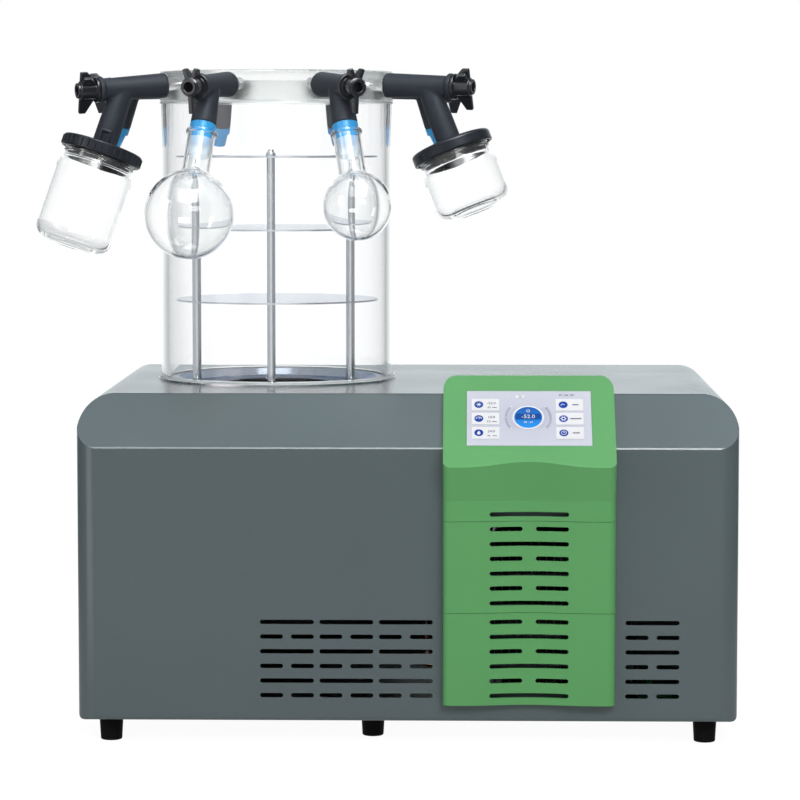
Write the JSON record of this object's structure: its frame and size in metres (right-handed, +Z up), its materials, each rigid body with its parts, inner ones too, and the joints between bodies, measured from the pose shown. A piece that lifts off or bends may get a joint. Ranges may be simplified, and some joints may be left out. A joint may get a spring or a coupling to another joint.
{
  "type": "freeze dryer",
  "caption": "Benchtop freeze dryer with a grey cabinet, a green touch-screen console, and a clear shelf chamber ringed by manifold valves with glass flasks and jars.",
  "frame": {"origin": "centre of the cabinet's footprint, on the bench that the feet stand on", "axes": "+Z up; the cabinet's front faces -Y; +X is to the right of someone facing the front"},
  "size_m": [0.6696, 0.5299, 0.6324],
  "materials": {
    "cabinet_paint": "satin grey powder coat",
    "panel_paint": "fine textured powder coat",
    "galvanised_steel": "dull zinc coat",
    "foot_rubber": "matte moulded rubber",
    "console_plastic": "satin green moulding",
    "screen_face": "glossy touch panel",
    "circuit_board": "solder mask",
    "gasket_rubber": "smooth rubber",
    "mirror_steel": "mirror polished stainless steel",
    "satin_steel": "satin stainless steel",
    "shelf_steel": "polished stainless steel",
    "copper_pipe": "drawn copper",
    "foam": "rigid foam",
    "clear_acrylic": "clear polished tube",
    "clear_silicone": "translucent",
    "frosted_acrylic": "frosted edge",
    "valve_rubber": "matte moulded rubber",
    "knob_plastic": "glossy moulding",
    "blue_silicone": "satin silicone",
    "flask_glass": "clear blown glass",
    "jar_glass": "clear pressed glass",
    "lid_plastic": "glossy moulding",
    "compressor_paint": "gloss black enamel",
    "fin_aluminium": "plain fin stock",
    "fan_plastic": "moulded",
    "supply_case": "plain sheet",
    "black_plastic": "moulded",
    "switch_plastic": "moulded",
    "valve_brass": "nickel-free brass",
    "handle_plastic": "dipped coating",
    "screw_steel": "zinc plated"
  },
  "bodies": {
    "cabinet": {"cabinet_shell": "cabinet_paint", "base_pan": "galvanised_steel", "rear_panel": "panel_paint", "rubber_feet": "foot_rubber", "console_head": "console_plastic", "upper_grille_cover": "console_plastic", "lower_grille_cover": "console_plastic", "touch_screen": "screen_face", "display_board": "circuit_board", "chamber_gasket": "gasket_rubber", "vapour_guide": "mirror_steel", "cold_trap": "satin_steel", "evaporator_coil": "copper_pipe", "insulation_jacket": "foam", "chamber_tube": "clear_acrylic", "lid_gasket": "clear_silicone", "manifold_lid": "frosted_acrylic", "port_nipples": "satin_steel", "shelf_lower": "shelf_steel", "shelf_middle": "shelf_steel", "shelf_upper": "shelf_steel", "rack_tie_rods": "shelf_steel", "rack_spacers": "shelf_steel", "flask_adapters": "blue_silicone", "flask_large": "flask_glass", "flask_small": "flask_glass", "jar_tall": "jar_glass", "jar_short": "jar_glass", "jar_lid_tall": "lid_plastic", "jar_lid_short": "lid_plastic", "compressor": "compressor_paint", "condenser_coil": "fin_aluminium", "fan_frame": "fan_plastic", "filter_drier": "copper_pipe", "refrigerant_pipes": "copper_pipe", "control_board": "circuit_board", "power_supply": "supply_case", "power_inlet": "black_plastic", "vacuum_port": "satin_steel", "drain_valve": "valve_brass", "panel_screws": "screw_steel", "valve_body_1": "valve_rubber", "valve_body_2": "valve_rubber", "valve_body_3": "valve_rubber", "valve_body_4": "valve_rubber", "valve_body_5": "valve_rubber", "valve_body_6": "valve_rubber", "valve_body_7": "valve_rubber", "valve_body_8": "valve_rubber"},
    "knob_1": {"valve_knob_1": "knob_plastic"},
    "knob_2": {"valve_knob_2": "knob_plastic"},
    "knob_3": {"valve_knob_3": "knob_plastic"},
    "knob_4": {"valve_knob_4": "knob_plastic"},
    "knob_5": {"valve_knob_5": "knob_plastic"},
    "knob_6": {"valve_knob_6": "knob_plastic"},
    "knob_7": {"valve_knob_7": "knob_plastic"},
    "knob_8": {"valve_knob_8": "knob_plastic"},
    "fan": {"fan_rotor": "fan_plastic"},
    "rocker": {"power_switch": "switch_plastic"},
    "drain_lever": {"drain_handle": "handle_plastic"}
  },
  "joints": [
    {"name": "knob_1_turn", "type": "hinge", "parent": "cabinet", "child": "knob_1", "pos_m": [0.03496, 0.09615, 0.61047], "axis": [0.9046, 0.4238, -0.0454], "range_deg": [0, 180]},
    {"name": "knob_2_turn", "type": "hinge", "parent": "cabinet", "child": "knob_2", "pos_m": [-0.07049, 0.19244, 0.61047], "axis": [0.34, 0.9393, -0.0454], "range_deg": [0, 180]},
    {"name": "knob_3_turn", "type": "hinge", "parent": "cabinet", "child": "knob_3", "pos_m": [-0.21315, 0.18596, 0.61047], "axis": [-0.4238, 0.9046, -0.0454], "range_deg": [0, 180]},
    {"name": "knob_4_turn", "type": "hinge", "parent": "cabinet", "child": "knob_4", "pos_m": [-0.30944, 0.08051, 0.61047], "axis": [-0.9393, 0.34, -0.0454], "range_deg": [0, 180]},
    {"name": "knob_5_turn", "type": "hinge", "parent": "cabinet", "child": "knob_5", "pos_m": [-0.30288, -0.06211, 0.60898], "axis": [-0.9036, -0.4233, -0.0663], "range_deg": [0, 180]},
    {"name": "knob_6_turn", "type": "hinge", "parent": "cabinet", "child": "knob_6", "pos_m": [-0.19751, -0.15844, 0.61047], "axis": [-0.34, -0.9393, -0.0454], "range_deg": [0, 180]},
    {"name": "knob_7_turn", "type": "hinge", "parent": "cabinet", "child": "knob_7", "pos_m": [-0.05485, -0.15196, 0.61047], "axis": [0.4238, -0.9046, -0.0454], "range_deg": [0, 180]},
    {"name": "knob_8_turn", "type": "hinge", "parent": "cabinet", "child": "knob_8", "pos_m": [0.04149, -0.04653, 0.61209], "axis": [0.94, -0.3403, -0.0227], "range_deg": [0, 180]},
    {"name": "fan_spin", "type": "hinge", "parent": "cabinet", "child": "fan", "pos_m": [0.1129, -0.174, 0.1035], "axis": [0, 1, 0], "continuous": true},
    {"name": "switch_rock", "type": "hinge", "parent": "cabinet", "child": "rocker", "pos_m": [0.226, 0.2265, 0.1], "axis": [1, 0, 0], "range_deg": [0, 14]},
    {"name": "drain_lever_turn", "type": "hinge", "parent": "cabinet", "child": "drain_lever", "pos_m": [-0.134, 0.2455, 0.077], "axis": [0, 0, 1], "range_deg": [0, 90]}
  ]
}
